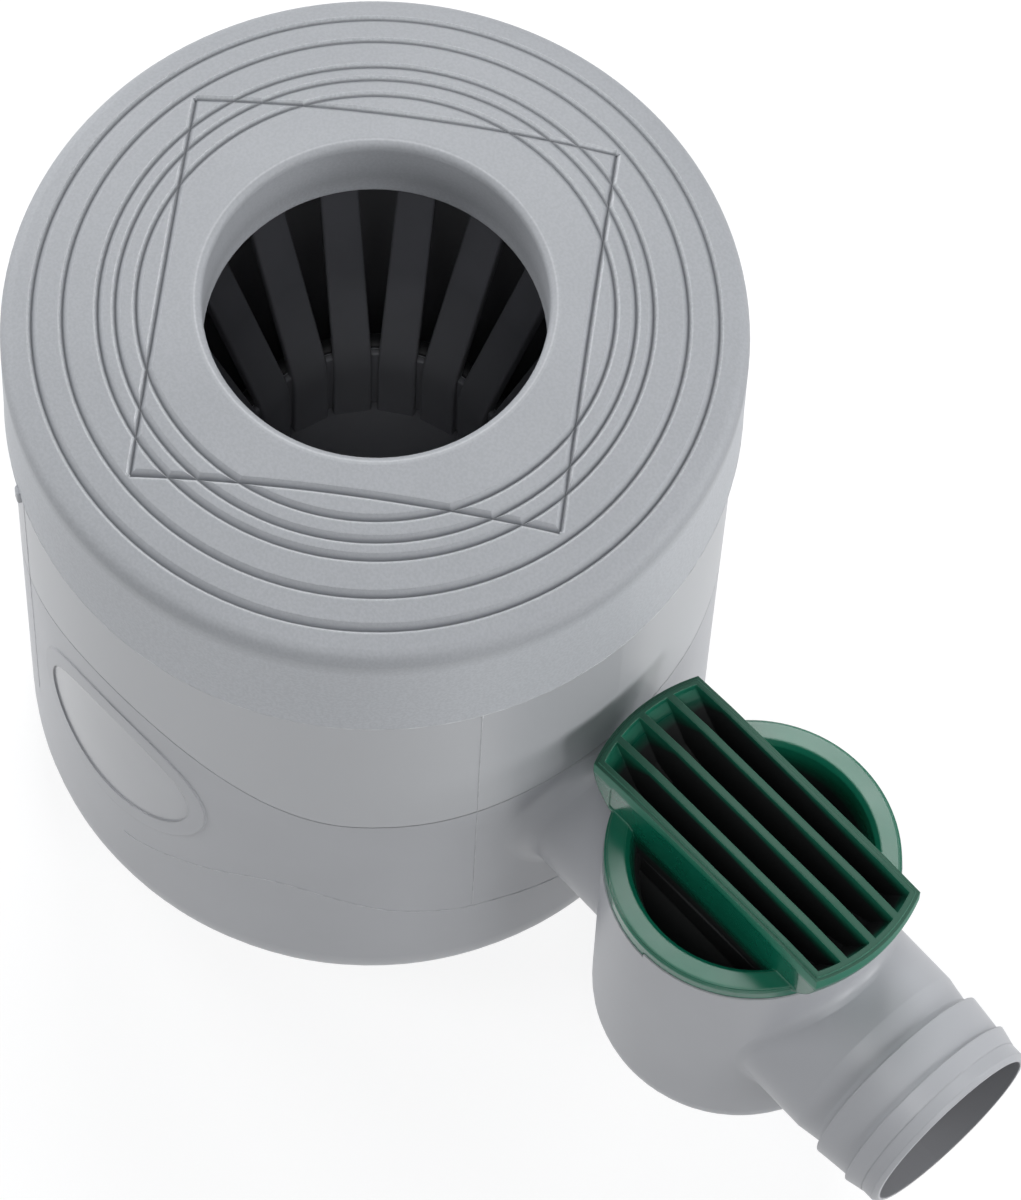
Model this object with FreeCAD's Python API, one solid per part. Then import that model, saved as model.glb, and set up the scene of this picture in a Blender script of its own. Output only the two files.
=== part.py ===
import FreeCAD, Part
import math
import os

# Rainwater diverter for a downpipe: a keyed hood over a collecting housing, a leaf basket standing on the
# overflow standpipe, and a branch that falls through a turning shut-off plug to a hose spigot.
# Millimetres. Z is up, the origin is on the downpipe axis at the housing's flat base, X runs along the branch.

Vector = FreeCAD.Vector
UP = Vector(0, 0, 1)
ORIGIN = Vector(0, 0, 0)

# Hood and housing, outside
hood_radius = 54.5
skirt_flare = 0.1
skirt_step = 0.7
body_draft = 0.7
body_top_radius = hood_radius - skirt_step
body_low_radius = body_top_radius - body_draft
base_corner_radius = 15.3
joint_height = 65.9
parting_height = 103.2
dome_apex_height = 135.7
dome_radius = 152.0
shoulder_fillet = 2.8

# Wavy joint line: two raised cosine arches, given by centre azimuth, half width and height
oval_arch = (-90.0, 45.0, 14.3)
neck_arch = (0.0, 38.0, 3.4)
joint_gap = 0.28
trim_reach = 5.0

# Walls
hood_wall = 2.2
body_wall = 2.6
collar_wall = 1.4
collar_height = 96.0
collar_clearance = 0.1
hood_ledge = 1.1
floor_wall = 2.6

# Downpipe inlet and the rings that guide a cut to other pipe sizes
inlet_radius = 25.15
inlet_collar_depth = 13.5
inlet_collar_wall = 2.2
inlet_rim_fillet = 1.4
groove_insets = (19.8, 16.75, 14.2, 9.05, 4.5)
groove_width = 1.35
groove_depth = 0.75
square_side = 62.3
square_turn = 39.3

# Overflow standpipe and the socket under it for the downpipe below
standpipe_radius = 21.5
standpipe_wall = 2.2
standpipe_height = 76.2
socket_radius = 25.15
socket_depth = 24.0
foot_ledge_width = 3.4
foot_ledge_height = 6.0
foot_ledge_angle = 22.0
foot_ledge_count = 3

# Leaf basket
basket_bars = 18
basket_turn = -3.4
bar_width = 5.4
bar_thickness = 2.2
basket_floor_height = 60.2
basket_floor_rise = 1.6
basket_floor_thickness = 2.4
basket_foot_clearance = 0.4
basket_sleeve_height = 63.2
basket_sleeve_wall = 0.8
basket_headroom = 11.1
basket_rim_height = dome_apex_height - basket_headroom
basket_rim_depth = 2.6
basket_rim_width = 2.8
basket_slope = 0.484

# Branch: neck, valve pot and hose spigot. The grip's arched end just clears the hood
grip_end_radius = 25.9
grip_gap = 2.9
pot_distance = hood_radius + grip_gap + grip_end_radius
branch_height = 50.1
branch_fall = 4.0
neck_radius = 15.7
branch_bore = 14.4
passage_run_in = 6.0
neck_fillet = 4.0
pot_radius = 22.3
pot_wall = 2.7
pot_base_height = 19.7
pot_base_fillet = 8.0
spigot_fillet = 2.0

# Hose spigot, measured along the branch from the pot's axis
spigot_length = 44.8
spigot_root_radius = 15.8
spigot_waist_radius = 15.2
spigot_taper_start = 28.4
spigot_taper_end = 32.0
barb_radius = 16.35
barb_nose_radius = 15.7
barb_starts = (33.1, 39.2)
barb_length = 6.1
lip_start = 42.0
lip_radius = 15.6
lip_round = 0.7

# Shut-off plug
plug_clearance = 0.08
flange_radius = 22.1
flange_bore = 18.3
flange_top = 74.3
flange_thickness = 2.5
flange_edge_ledge = 0.35
flange_edge_step = 0.5
flange_bevel = 0.7
flange_gap = 0.1
plug_wall = 3.0
plug_end_height = 25.0
passage_wall = 1.6
web_thickness = 1.6
stop_step = 1.0
stop_span = 90.0
stop_play = 0.5

# Grip on the plug
grip_height = 10.5
grip_width = 21.2
grip_end_drop = 3.4
grip_end_foot = 1.0
grip_end_swell = 0.7
grip_wall = 1.3
grip_end_wall = 1.4
grip_ribs = 3
rib_pitch = 5.2
rib_thickness = 1.08
slot_floor = 67.5
grip_crown = 0.8
grip_crown_run = 9.5
grip_rim_ledge = 0.55
grip_rim_step = 0.3
side_recess_half = 20.0
side_recess_depth = 0.2
side_recess_lip = 1.0
side_recess_corner = 4.0
scoop_half = 14.6
scoop_depth = 0.3

# Seals on the plug
seal_section = 1.8
seal_heights = (68.2, 31.0)
seal_groove_width = 2.2
seal_clearance = 0.03

# Raised pad and recessed oval on the housing
pad_height = 55.4
pad_radius = 18.0
pad_rise = 0.3
oval_half_width = 15.3
oval_half_height = 13.8
oval_depth = 0.25

# Lug on the hood at the parting line
lug_azimuth = -115.0
lug_width = 1.5
lug_height = 3.0
lug_rise = 0.65
lug_round = 0.4


def turned(profile):
    """Solid of revolution about Z from a closed list of (radius, height) points."""
    points = [Vector(radius, 0, height) for radius, height in profile]
    face = Part.Face(Part.makePolygon(points + points[:1]))
    return face.revolve(ORIGIN, UP, 360)


def tube(inner, outer, low, high):
    """Plain ring or tube about Z."""
    return turned([(inner, low), (outer, low), (outer, high), (inner, high)])


def box_about(x, y, z):
    """Box from three (low, high) pairs."""
    return Part.makeBox(x[1] - x[0], y[1] - y[0], z[1] - z[0], Vector(x[0], y[0], z[0]))


def circle_edges(shape, radius, height, slack=0.05):
    """Circular edges about Z at one radius and height."""
    found = []
    for edge in shape.Edges:
        box = edge.BoundBox
        flat = box.ZLength < slack and abs(box.ZMin - height) < slack
        round_it = abs(box.XMax - radius) < slack and abs(box.XMin + radius) < slack
        if flat and round_it:
            found.append(edge)
    return found


def along_branch(shape):
    """Turns a solid made about Z, with the pot's axis at its origin, onto the falling branch axis."""
    moved = shape.copy()
    moved.rotate(ORIGIN, Vector(0, 1, 0), 90 + branch_fall)
    moved.translate(Vector(pot_distance, 0, branch_height))
    return moved


def at_pot(shape):
    """Moves a solid made about Z onto the pot's axis."""
    moved = shape.copy()
    moved.translate(Vector(pot_distance, 0, 0))
    return moved


def body_radius(height):
    """Outer radius of the housing and of the hood's lower band, which narrow together towards the base."""
    return body_low_radius + (body_top_radius - body_low_radius) * height / parting_height


def dome_height(radius, depth=0.0):
    """Height of the domed top, or of a surface that lies a set depth under it."""
    sphere = dome_radius - depth
    return dome_apex_height - dome_radius + math.sqrt(sphere * sphere - radius * radius)


def joint_line(azimuth):
    """Height of the line where the hood meets the housing."""
    height = joint_height
    for centre, half_width, rise in (oval_arch, neck_arch):
        away = abs((azimuth - centre + 180) % 360 - 180)
        if away < half_width:
            height += rise * (1 + math.cos(math.pi * away / half_width)) / 2
    return height


def joint_curve(radius, shift):
    """Closed curve that follows the joint line on a cylinder."""
    points = []
    for azimuth in range(0, 360, 6):
        turn = math.radians(azimuth)
        height = joint_line(azimuth) + shift
        points.append(Vector(radius * math.cos(turn), radius * math.sin(turn), height))
    curve = Part.BSplineCurve()
    curve.interpolate(points, PeriodicFlag=True)
    return curve.toShape()


def beyond_joint(inner, shift, travel):
    """Ring with one wavy face on the joint line, swept up or down, to trim a wall at the joint."""
    outer = hood_radius + 10
    face = Part.makeRuledSurface(joint_curve(inner, shift), joint_curve(outer, shift))
    return face.extrude(Vector(0, 0, travel))


def groove_cutter():
    """V grooves on the dome: one ring for each pipe size and a square for a square pipe."""
    cutters = []
    half = groove_width / 2
    for inset in groove_insets:
        radius = hood_radius - inset
        low = dome_height(radius) - groove_depth
        top = low + 2 * groove_depth
        cutters.append(turned([(radius, low), (radius + 2 * half, top), (radius - 2 * half, top)]))
    centre = Vector(0, 0, dome_apex_height - dome_radius)
    offset = square_side / 2
    arc = math.sqrt(dome_radius ** 2 - offset ** 2)
    reach = math.degrees(math.asin(offset / arc))
    low = arc - groove_depth
    top = low + 2 * groove_depth
    corners = [(offset, low), (offset + 2 * half, top), (offset - 2 * half, top)]
    points = [centre + Vector(0, across, up) for across, up in corners]
    for side in range(4):
        face = Part.Face(Part.makePolygon(points + points[:1]))
        face.rotate(centre, Vector(0, 1, 0), -reach)
        solid = face.revolve(centre, Vector(0, 1, 0), 2 * reach)
        solid.rotate(centre, UP, square_turn + 90 * side)
        cutters.append(solid)
    return cutters


def make_hood():
    """Domed hood with its inlet collar, cutting grooves, skirt and wavy lower edge."""
    low = joint_height - 5
    skirt_low = hood_radius + skirt_flare
    outline = [(0, low), (body_radius(low), low), (body_top_radius, parting_height),
               (skirt_low, parting_height), (hood_radius, dome_height(hood_radius)),
               (hood_radius, dome_apex_height + 5), (0, dome_apex_height + 5)]
    sphere_centre = Vector(0, 0, dome_apex_height - dome_radius)
    block = turned(outline).common(Part.makeSphere(dome_radius, sphere_centre))
    edge = circle_edges(block, hood_radius, dome_height(hood_radius))
    block = block.makeFillet(shoulder_fillet, edge)

    inner = body_radius(joint_height) - body_wall + collar_wall + collar_clearance
    ledge = inner - hood_ledge
    hollow = turned([(0, low - 1), (inner, low - 1), (inner, collar_height), (ledge, collar_height),
                     (ledge, dome_apex_height), (0, dome_apex_height)])
    hollow = hollow.common(Part.makeSphere(dome_radius - hood_wall, sphere_centre))
    collar_low = dome_height(inlet_radius) - inlet_collar_depth
    collar = tube(0, inlet_radius + inlet_collar_wall, collar_low, dome_apex_height)
    hood = block.cut(hollow.cut(collar))
    hood = hood.cut(tube(0, inlet_radius, low, dome_apex_height + 5))
    rim = circle_edges(hood, inlet_radius, dome_height(inlet_radius))
    hood = hood.makeFillet(inlet_rim_fillet, rim)
    hood = hood.cut(groove_cutter())
    hood = hood.cut(beyond_joint(inner - 5, 0, -40))

    lug = box_about((body_top_radius - hood_wall / 2, hood_radius + lug_rise), (-lug_width / 2, lug_width / 2),
                    (parting_height - lug_height * 0.7, parting_height + lug_height * 0.3))
    face_edges = [edge for edge in lug.Edges if edge.BoundBox.XMin > hood_radius]
    lug = lug.makeFillet(lug_round, face_edges)
    lug.rotate(ORIGIN, UP, lug_azimuth)
    return hood.fuse(lug)


def spigot_block():
    """Outside of the neck, the outlet pipe and the barbed hose spigot, about the branch axis."""
    reach_back = pot_distance - standpipe_radius
    outline = [(0, -reach_back), (neck_radius, -reach_back), (neck_radius, 0), (spigot_root_radius, 0),
               (spigot_root_radius, spigot_taper_start), (spigot_waist_radius, spigot_taper_end)]
    for start in barb_starts:
        outline.append((outline[-1][0], start))
        outline.append((barb_radius, start))
        outline.append((barb_nose_radius, min(start + barb_length, lip_start)))
    outline += [(lip_radius, lip_start), (lip_radius, spigot_length - lip_round),
                (lip_radius - lip_round, spigot_length), (0, spigot_length)]
    return along_branch(turned(outline))


def make_housing():
    """Collecting housing in one moulding: chamber, standpipe, socket, neck, valve pot and hose spigot."""
    top = joint_height + oval_arch[2] + trim_reach
    collar_outer = body_radius(joint_height) - body_wall + collar_wall
    block = turned([(0, 0), (body_low_radius, 0), (body_radius(top), top), (0, top)])
    block = block.makeFillet(base_corner_radius, circle_edges(block, body_low_radius, 0))

    rim = flange_top - flange_thickness - flange_gap
    pot = Part.makeCylinder(pot_radius, rim - pot_base_height, Vector(0, 0, pot_base_height))
    pot = pot.makeFillet(pot_base_fillet, circle_edges(pot, pot_radius, pot_base_height))
    chamber_radius = body_radius(joint_height) - body_wall
    chamber = turned([(0, floor_wall), (chamber_radius, floor_wall), (chamber_radius, collar_height + 1),
                      (0, collar_height + 1)])
    inner_corner = base_corner_radius - floor_wall
    chamber = chamber.makeFillet(inner_corner, circle_edges(chamber, chamber_radius, floor_wall))

    branch = spigot_block().cut(tube(0, chamber_radius, -10, collar_height + 10))
    joined = block.fuse(branch)
    joined = joined.makeFillet(neck_fillet, crossing_edges(joined))
    joined = joined.cut(beyond_joint(collar_outer, -joint_gap, 40))
    joined = joined.fuse([tube(0, collar_outer, joint_height - 10, collar_height), at_pot(pot)]).removeSplitter()
    joined = joined.makeFillet(spigot_fillet, outlet_edges(joined))

    standpipe_outer = standpipe_radius + standpipe_wall
    socket_outer = socket_radius + standpipe_wall
    core = turned([(0, 0), (socket_outer, 0), (socket_outer, socket_depth + floor_wall),
                   (standpipe_outer, socket_depth + floor_wall + 4), (standpipe_outer, standpipe_height),
                   (0, standpipe_height)])
    housing = joined.cut(chamber.cut(core))
    bore = turned([(0, -1), (socket_radius, -1), (socket_radius, socket_depth), (standpipe_radius, socket_depth),
                   (standpipe_radius, standpipe_height + 1), (0, standpipe_height + 1)])
    housing = housing.cut(bore.cut(foot_ledges()))

    pot_bore = pot_radius - pot_wall
    hollow = Part.makeCylinder(pot_bore, rim, Vector(0, 0, pot_base_height + pot_wall))
    passage_start = chamber_radius - passage_run_in - pot_distance
    passage = Part.makeCylinder(branch_bore, spigot_length + 1 - passage_start, Vector(0, 0, passage_start))
    housing = housing.cut([at_pot(hollow), along_branch(passage), stop_recess()])
    return with_pad(housing)


def crossing_edges(shape):
    """Edges where the neck meets the housing's wall."""
    reach = neck_radius + neck_fillet
    found = []
    for edge in shape.Edges:
        box = edge.BoundBox
        centre = box.Center
        if box.XMax < body_top_radius + 1 and box.XMin > body_low_radius - neck_radius \
                and box.YLength < 2 * neck_radius + 2 and abs(centre.z - branch_height) < reach and box.ZLength > 1:
            found.append(edge)
    return found


def outlet_edges(shape):
    """Edges where the outlet pipe leaves the valve pot."""
    found = []
    for edge in shape.Edges:
        box = edge.BoundBox
        if box.XMin > pot_distance and box.XMax < pot_distance + pot_radius + 1 and box.ZLength > neck_radius \
                and abs(box.Center.z - branch_height) < 4 and box.YLength > 1:
            found.append(edge)
    return found


def foot_ledges():
    """Short ledges inside the standpipe that the basket's bars stand on."""
    top = basket_floor_height - basket_floor_thickness
    ledges = []
    for index in range(foot_ledge_count):
        ring = Part.makeCylinder(standpipe_radius + 0.5, foot_ledge_height, Vector(0, 0, top - foot_ledge_height),
                                 UP, foot_ledge_angle)
        ring = ring.cut(Part.makeCylinder(standpipe_radius - foot_ledge_width, top))
        ring.rotate(ORIGIN, UP, 30 + index * 360 / foot_ledge_count)
        ledges.append(ring)
    return ledges


def stop_recess():
    """Lowered half of the pot's rim, in which the plug's stop runs a quarter turn."""
    rim = flange_top - flange_thickness - flange_gap
    half = Part.makeCylinder(pot_radius + 1, stop_step + 1, Vector(0, 0, rim - stop_step), UP, 2 * stop_span)
    half.rotate(ORIGIN, UP, 90)
    return at_pot(half)


def with_pad(housing):
    """Round pad with a recessed oval on the housing's front wall, below the joint line."""
    wall = body_radius(pad_height)

    def disc(half_width, half_height, inner, outer):
        ellipse = Part.Ellipse(ORIGIN, max(half_width, half_height) + 0.001, min(half_width, half_height))
        edge = ellipse.toShape()
        if half_height > half_width:
            edge.rotate(ORIGIN, UP, 90)
        plug = Part.Face(Part.Wire(edge)).extrude(Vector(0, 0, wall))
        plug.rotate(ORIGIN, Vector(1, 0, 0), 90)
        plug.translate(Vector(0, -wall / 2, pad_height))
        return plug.common(tube(inner, outer, 0, collar_height))

    pad = disc(pad_radius, pad_radius, wall - 1, wall + pad_rise)
    oval = disc(oval_half_width, oval_half_height, wall + pad_rise - oval_depth, wall + 5)
    return housing.fuse(pad).cut(oval)


def make_basket():
    """Leaf basket: sloping bars from a rim ring to a closed, slightly domed foot, and a sleeve that centres it."""
    inner = standpipe_radius - basket_foot_clearance - bar_thickness
    low = basket_floor_height - basket_floor_thickness
    rim_inner = inner + (basket_rim_height - standpipe_height) * basket_slope
    thick = bar_thickness / math.cos(math.atan(basket_slope))
    wall = turned([(inner, low), (inner + bar_thickness, low), (inner + bar_thickness, standpipe_height),
                   (rim_inner + thick, basket_rim_height), (rim_inner, basket_rim_height),
                   (inner, standpipe_height)])
    slab = box_about((0, rim_inner + thick + 1), (-bar_width / 2, bar_width / 2), (low, basket_rim_height))
    bar = wall.common(slab)
    pieces = []
    for index in range(basket_bars):
        copy = bar.copy()
        copy.rotate(ORIGIN, UP, basket_turn + (index + 0.5) * 360 / basket_bars)
        pieces.append(copy)
    pieces.append(tube(rim_inner - 0.4, rim_inner + basket_rim_width, basket_rim_height - basket_rim_depth,
                       basket_rim_height))
    pieces.append(tube(inner + bar_thickness - basket_sleeve_wall, inner + bar_thickness, basket_sleeve_height,
                       standpipe_height))
    cap = (inner * inner + basket_floor_rise ** 2) / (2 * basket_floor_rise)
    floor = tube(0, inner + bar_thickness / 2, low, basket_floor_height + basket_floor_rise)
    dome = Part.makeSphere(cap, Vector(0, 0, basket_floor_height + basket_floor_rise - cap))
    pieces.append(floor.common(dome))
    basket = pieces[0].fuse(pieces[1:])
    return basket.removeSplitter()


def plug_frame():
    """Sizes of the plug that follow from the pot's bore."""
    barrel = pot_radius - pot_wall - plug_clearance
    return barrel, barrel - plug_wall


def make_plug():
    """Turning plug: barrel with a through passage, flange with two finger pockets, and a ribbed grip."""
    barrel, hollow = plug_frame()
    underside = flange_top - flange_thickness
    body = Part.makeCylinder(barrel, flange_top - plug_end_height, Vector(0, 0, plug_end_height))
    rim = flange_radius - flange_edge_ledge
    ledge = flange_top - flange_edge_step
    flange = turned([(0, underside), (flange_radius, underside), (flange_radius, ledge), (rim, ledge),
                     (rim, flange_top), (0, flange_top)])
    stop = Part.makeCylinder(flange_radius, stop_step, Vector(0, 0, underside - stop_step), UP,
                             stop_span - 2 * stop_play)
    stop.rotate(ORIGIN, UP, 180 + stop_play)
    grip, slots = grip_solids(hollow)
    body = body.fuse([flange, stop, grip])

    passage = branch_cylinder(branch_bore + passage_wall)
    middle = branch_height
    upper = turned([(0, middle + web_thickness / 2), (hollow, middle + web_thickness / 2),
                    (hollow, underside - 6), (flange_bore, flange_top - flange_bevel),
                    (flange_bore + flange_bevel, flange_top), (flange_bore + flange_bevel, flange_top + 1),
                    (0, flange_top + 1)])
    half_grip = grip_width / 2 - side_recess_depth
    keep = box_about((-50, 50), (-half_grip, half_grip), (0, 200))
    upper = upper.cut([keep, passage])
    lower = Part.makeCylinder(hollow, middle - web_thickness / 2 - plug_end_height + 1,
                              Vector(0, 0, plug_end_height - 1))
    lower = lower.cut(passage)
    body = body.cut([upper, lower, slots.cut(passage), branch_cylinder(branch_bore)])
    body = body.cut(side_recesses())
    return body.cut([seal_groove(height) for height in seal_heights])


def branch_cylinder(radius):
    """Cylinder along the falling branch through the pot, in the plug's own frame."""
    length = 2 * pot_radius + 10
    cylinder = Part.makeCylinder(radius, length, Vector(0, 0, -length / 2))
    cylinder.rotate(ORIGIN, Vector(0, 1, 0), 90 + branch_fall)
    cylinder.translate(Vector(0, 0, branch_height))
    return cylinder


def grip_block(inset, drop):
    """Grip block with arched ends that overhang the flange; its outline can be set in and its top lowered."""
    top = flange_top + grip_height - drop
    half = grip_width / 2 - inset
    end = grip_end_radius - inset
    underside = flange_top - flange_thickness
    foot = Vector(flange_radius - inset, 0, flange_top - grip_end_foot)
    shoulder = Vector(end, 0, flange_top + grip_height - grip_end_drop)
    chord = shoulder - foot
    outward = Vector(chord.z, 0, -chord.x).normalize()
    swell = Part.Arc(foot, (foot + shoulder) / 2 + outward * grip_end_swell, shoulder).toShape()
    rest = Part.makePolygon([shoulder, Vector(end, 0, top), Vector(0, 0, top), Vector(0, 0, underside),
                             Vector(foot.x, 0, underside), foot])
    outline = Part.Face(Part.Wire([swell] + rest.Edges)).revolve(ORIGIN, UP, 360)
    block = outline.common(box_about((-50, 50), (-half, half), (underside, top)))
    slope_start = grip_end_radius - grip_crown_run
    reach = grip_end_radius + 1
    for turn in (0, 180):
        points = [Vector(slope_start, -half - 1, top), Vector(reach, -half - 1, top - grip_crown),
                  Vector(reach, -half - 1, top + 1), Vector(slope_start, -half - 1, top + 1)]
        wedge = Part.Face(Part.makePolygon(points + points[:1])).extrude(Vector(0, grip_width + 2, 0))
        wedge.rotate(ORIGIN, UP, turn)
        block = block.cut(wedge)
    return block


def grip_solids(hollow):
    """Grip block with a stepped rim, and the slots between its walls and ribs."""
    top = flange_top + grip_height
    half = grip_width / 2
    shoulder = top - grip_end_drop
    block = grip_block(0, grip_rim_step).fuse(grip_block(grip_rim_ledge, 0))
    inner_end = grip_end_radius - grip_end_wall
    void = turned([(0, slot_floor), (hollow, slot_floor), (hollow, flange_top - 1), (flange_radius - 2, flange_top + 1),
                   (inner_end - 1, shoulder), (inner_end, shoulder + 1.5), (inner_end, top + 1), (0, top + 1)])
    clear = void.common(box_about((-50, 50), (-half + grip_wall, half - grip_wall), (0, 200)))
    first = -(grip_ribs - 1) / 2 * rib_pitch
    for index in range(grip_ribs):
        middle = first + index * rib_pitch
        rib = box_about((-50, 50), (middle - rib_thickness / 2, middle + rib_thickness / 2), (0, 200))
        clear = clear.cut(rib)
    return block, clear


def side_recesses():
    """Shallow recess in each side of the grip, arched at the top corners, with a wider scoop for the fingertips."""
    top = flange_top + grip_height - side_recess_lip
    half = side_recess_half
    side = grip_width / 2
    panel = box_about((-half, half), (side - side_recess_depth, side + 1), (flange_top, top))
    corners = [edge for edge in panel.Edges if edge.BoundBox.YLength > 1 and edge.BoundBox.ZMin > top - 0.1]
    panel = panel.makeFillet(side_recess_corner, corners)
    floor = side - side_recess_depth
    radius = (scoop_half ** 2 + scoop_depth ** 2) / (2 * scoop_depth)
    scoop = Part.makeCylinder(radius, top - slot_floor, Vector(0, floor - scoop_depth + radius, slot_floor))
    scoop = scoop.common(box_about((-scoop_half, scoop_half), (floor - 1, floor + 0.1), (slot_floor, top)))
    cutters = []
    for piece in (panel, scoop):
        other = piece.copy()
        other.rotate(ORIGIN, UP, 180)
        cutters += [piece, other]
    return cutters


def seal_groove(height):
    """Groove round the plug's barrel for one sealing ring."""
    barrel, hollow = plug_frame()
    floor = seal_centre_radius() - seal_section / 2 - seal_clearance
    half = seal_groove_width / 2
    return tube(floor, barrel + 1, height - half, height + half)


def seal_centre_radius():
    """Radius of a sealing ring's centre line: its outside just clears the pot's bore."""
    return pot_radius - pot_wall - seal_clearance - seal_section / 2


def make_seal(height):
    """Rubber sealing ring in its groove on the plug."""
    return at_pot(Part.makeTorus(seal_centre_radius(), seal_section / 2, Vector(0, 0, height)))


def main():
    os.makedirs("parts", exist_ok=True)
    pieces = {
        "hood": make_hood(),
        "housing": make_housing(),
        "leaf_basket": make_basket(),
        "shutoff_plug": at_pot(make_plug()),
        "plug_seal_upper": make_seal(seal_heights[0]),
        "plug_seal_lower": make_seal(seal_heights[1]),
    }
    for name, shape in pieces.items():
        shape.exportStep("parts/" + name + ".step")
        print(name, "solids", len(shape.Solids), "valid", shape.isValid(), "volume", round(shape.Volume))


main()
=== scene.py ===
import math

import bmesh
import bpy
from mathutils import Matrix, Vector


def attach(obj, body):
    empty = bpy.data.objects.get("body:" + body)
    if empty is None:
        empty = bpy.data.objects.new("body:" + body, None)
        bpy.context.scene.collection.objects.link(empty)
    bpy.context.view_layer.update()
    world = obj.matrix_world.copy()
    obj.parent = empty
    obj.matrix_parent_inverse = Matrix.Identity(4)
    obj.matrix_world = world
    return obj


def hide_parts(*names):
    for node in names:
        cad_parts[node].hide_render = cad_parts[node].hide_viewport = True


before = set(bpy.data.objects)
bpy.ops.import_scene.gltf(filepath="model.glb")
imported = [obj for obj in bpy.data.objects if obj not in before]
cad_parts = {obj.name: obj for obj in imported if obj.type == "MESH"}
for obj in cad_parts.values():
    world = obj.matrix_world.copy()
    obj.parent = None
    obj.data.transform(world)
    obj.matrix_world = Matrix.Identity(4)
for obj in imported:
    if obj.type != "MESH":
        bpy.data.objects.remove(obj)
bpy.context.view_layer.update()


# The view of the photograph. A long lens looks down on the diverter from the
# branch's right-hand side, and the picture's middle lies beside the lens's axis.
picture_width = 1021
picture_height = 1200
focal_length_pixels = 7765.0
lens_axis_pixels = (552.1, 653.7)
sensor_mm = 36.0
view_point = Vector((0.3801, -0.3595, 1.1252))
view_right = Vector((0.682507, 0.730314, 0.028751))
view_forward = Vector((-0.293307, 0.309713, -0.904461))

camera_data = bpy.data.cameras.new("photo_view")
camera_data.sensor_width = sensor_mm
camera_data.lens = focal_length_pixels / picture_height * sensor_mm
camera_data.shift_x = (picture_width / 2 - lens_axis_pixels[0]) / picture_height
camera_data.shift_y = (lens_axis_pixels[1] - picture_height / 2) / picture_height
camera_data.clip_start = 0.05
camera_data.clip_end = 100.0
camera = bpy.data.objects.new("photo_view", camera_data)
bpy.context.collection.objects.link(camera)
view_up = view_right.cross(view_forward)
turn = Matrix((view_right, view_up, -view_forward)).transposed()
camera.matrix_world = Matrix.Translation(view_point) @ turn.to_4x4()
bpy.context.scene.camera = camera
bpy.context.scene.view_settings.view_transform = "Standard"


# The table that the diverter stands on: a wide matt white sheet. It keeps the soft
# shadow, and what the camera and the glossy walls see of it is nearly plain white.
floor_half_m = 20.0
sheet_glow = 0.82


def linear(code):
    """Linear colour of an sRGB hex code."""
    channels = [int(code[start:start + 2], 16) / 255 for start in (1, 3, 5)]
    return tuple(c / 12.92 if c <= 0.04045 else ((c + 0.055) / 1.055) ** 2.4 for c in channels) + (1.0,)


def add(tree, kind, inputs=None, **settings):
    """Adds one node with its settings. An input is a value, a node, an output, or a list of nodes.

    A Mix node's inputs 6 and 7 are its two colours.
    """
    made = tree.nodes.new(kind)
    for name, value in settings.items():
        setattr(made, name, value)
    for key, value in (inputs or {}).items():
        sources = value if isinstance(value, list) else [value]
        for source in sources:
            if isinstance(source, bpy.types.Node):
                source = next(output for output in source.outputs if output.enabled)
            if isinstance(source, bpy.types.NodeSocket):
                tree.links.new(source, made.inputs[key])
            else:
                made.inputs[key].default_value = source
    return made


def new_material(name):
    """Material with an empty node tree."""
    made = bpy.data.materials.new(name)
    made.use_nodes = True
    made.node_tree.nodes.clear()
    return made


def seen_directly(tree):
    """Adds nodes that give 1 where the camera sees a surface, also in a mirror, and 0 where it lights."""
    path = add(tree, "ShaderNodeLightPath").outputs
    mirrored = add(tree, "ShaderNodeMath", {0: path["Is Camera Ray"], 1: path["Is Glossy Ray"]},
                   operation="MAXIMUM")
    return add(tree, "ShaderNodeMath", {0: mirrored, 1: path["Is Transmission Ray"]},
               operation="MAXIMUM")


floor_mesh = bpy.data.meshes.new("floor")
floor_corners = [(-floor_half_m, -floor_half_m, 0), (floor_half_m, -floor_half_m, 0),
                 (floor_half_m, floor_half_m, 0), (-floor_half_m, floor_half_m, 0)]
floor_mesh.from_pydata(floor_corners, [], [(0, 1, 2, 3)])
floor = bpy.data.objects.new("floor", floor_mesh)
bpy.context.collection.objects.link(floor)

sheet = new_material("matt_white_sheet")
tree = sheet.node_tree
lit = add(tree, "ShaderNodeBsdfDiffuse", {"Color": linear("#bfc0c1")})
shown_diffuse = add(tree, "ShaderNodeBsdfDiffuse", {"Color": linear("#8a8b8c")})
shown_glow = add(tree, "ShaderNodeEmission", {"Color": linear("#ffffff"), "Strength": sheet_glow})
shown = add(tree, "ShaderNodeAddShader", {0: shown_diffuse, 1: shown_glow})
seen = add(tree, "ShaderNodeMixShader", {0: seen_directly(tree), 1: lit, 2: shown})
add(tree, "ShaderNodeOutputMaterial", {0: seen})
floor_mesh.materials.append(sheet)


# The light of a product photograph: a white room and six soft boxes. The key box stands
# high behind the diverter, where the glossy plug mirrors it, the others round its sides.
room_strength = 0.05
box_target = Vector((0.03, 0.0, 0.06))
box_distance_m = 1.6
soft_boxes = (  # name, azimuth and elevation in degrees, width in metres, watts
    ("key_box", 133.0, 55.5, 0.68, 12.1),
    ("front_box", 315.0, 55.0, 0.6, 4.4),
    ("right_box", 0.0, 20.0, 0.6, 7.3),
    ("back_right_box", 45.0, 20.0, 0.6, 8.3),
    ("back_left_box", 180.0, 20.0, 0.6, 7.2),
    ("left_box", 225.0, 20.0, 0.6, 7.3))

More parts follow.
